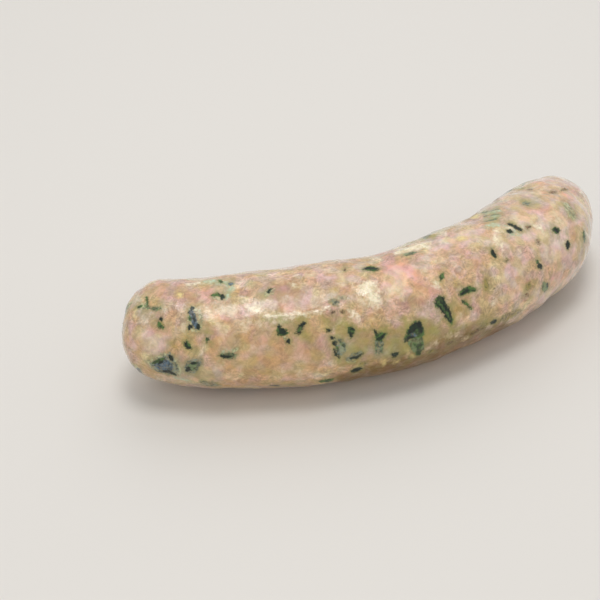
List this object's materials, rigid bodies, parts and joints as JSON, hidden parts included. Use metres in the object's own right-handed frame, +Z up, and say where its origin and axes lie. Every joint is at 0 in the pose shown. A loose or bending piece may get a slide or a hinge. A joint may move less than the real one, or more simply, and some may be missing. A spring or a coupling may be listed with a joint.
{
  "type": "sausage link",
  "caption": "Raw sausage link, a curved round-ended length of pale minced meat with green leaf flecks in a thin glossy casing, to be cooked and eaten.",
  "frame": {"origin": "on the resting plane, below the middle of the link's box", "axes": "+X along the link from its left tip to its right tip, +Z up, and the outer side of the curve faces -Y"},
  "size_m": [0.1536, 0.055, 0.032],
  "materials": {
    "cased_meat": "glossy"
  },
  "bodies": {
    "root": {"sausage_link": "cased_meat"}
  },
  "joints": []
}
